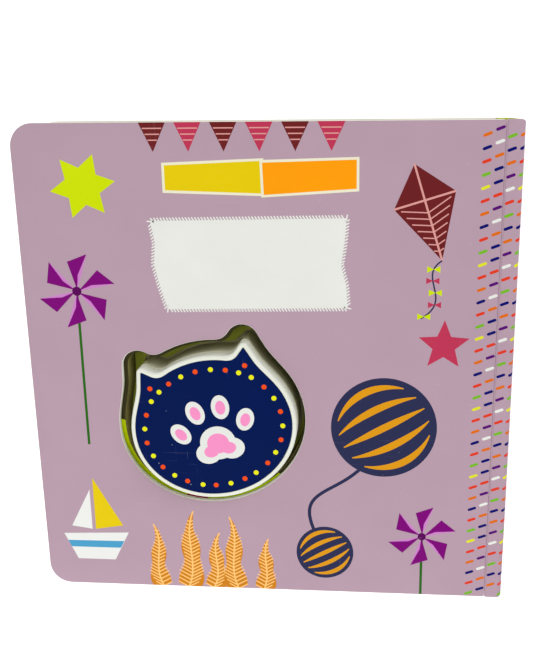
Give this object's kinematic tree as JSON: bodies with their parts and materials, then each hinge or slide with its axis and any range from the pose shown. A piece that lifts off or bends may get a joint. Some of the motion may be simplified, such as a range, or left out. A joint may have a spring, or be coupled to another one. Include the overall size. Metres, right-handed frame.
{
  "type": "sound book",
  "caption": "Square board book with a die-cut window in cover and leaves and a spring-back push button that sounds a module in its back.",
  "frame": {"origin": "middle of the book's underside, on the plane that the back cover rests on", "axes": "+Z leaves the front cover, +Y runs to the head of the page, +X to the spine"},
  "size_m": [0.178, 0.18, 0.0284],
  "materials": {
    "cover_print": "printed paper under a satin laminate",
    "leaf_board": "white board, die-cut edges",
    "grey_board": "grey board",
    "white_plastic": "satin white, moulded",
    "button_print": "glossy print",
    "black_plastic": "black, moulded",
    "spring_steel": "bright wire",
    "screw_steel": "zinc plated",
    "circuit_board": "green solder mask",
    "silicone": "translucent white",
    "speaker_paper": "black paper",
    "magnet": "plated magnet",
    "lead_black": "insulated wire",
    "lead_red": "insulated wire",
    "cell_steel": "plated can",
    "contact_brass": "spring strip"
  },
  "bodies": {
    "front": {"front_cover": "cover_print"},
    "pages": {"page_block": "leaf_board", "spine_wrap": "cover_print"},
    "button": {"button_cap": "white_plastic", "face_sheet": "button_print", "cap_screw_1": "screw_steel", "cap_screw_2": "screw_steel", "cap_screw_3": "screw_steel"},
    "back_case": {"back_cover": "cover_print", "spacer_frame": "grey_board", "last_leaf": "leaf_board", "upper_housing": "white_plastic", "lower_housing": "black_plastic", "return_spring_1": "spring_steel", "return_spring_2": "spring_steel", "return_spring_3": "spring_steel", "housing_screw_1": "screw_steel", "housing_screw_2": "screw_steel", "housing_screw_3": "screw_steel", "housing_screw_4": "screw_steel", "circuit_board": "circuit_board", "chip_blob": "black_plastic", "rubber_dome": "silicone", "speaker_frame": "screw_steel", "speaker_cone": "speaker_paper", "speaker_magnet": "magnet", "speaker_lead_1": "lead_black", "speaker_lead_2": "lead_red", "cell_1": "cell_steel", "cell_2": "cell_steel", "cell_3": "cell_steel", "contact_top_bridge": "contact_brass", "contact_top_end": "contact_brass", "contact_door_bridge": "contact_brass", "contact_door_end": "contact_brass", "battery_door": "black_plastic", "door_screw": "screw_steel"}
  },
  "joints": [
    {"name": "back_hinge", "type": "hinge", "parent": "back_case", "child": "pages", "pos_m": [0.0827, 0, -0.00015], "axis": [0, 1, 0], "range_deg": [0, 180]},
    {"name": "front_hinge", "type": "hinge", "parent": "pages", "child": "front", "pos_m": [0.0827, 0, 0.02555], "axis": [0, 1, 0], "range_deg": [0, 180]},
    {"name": "button_press", "type": "slide", "parent": "back_case", "child": "button", "axis": [0, 0, -1], "range_m": [0, 0.0007], "stiffness_N_per_m": 2000, "springref_m": -0.00075, "deforming": ["return_spring_1", "return_spring_2", "return_spring_3", "rubber_dome"]}
  ]
}
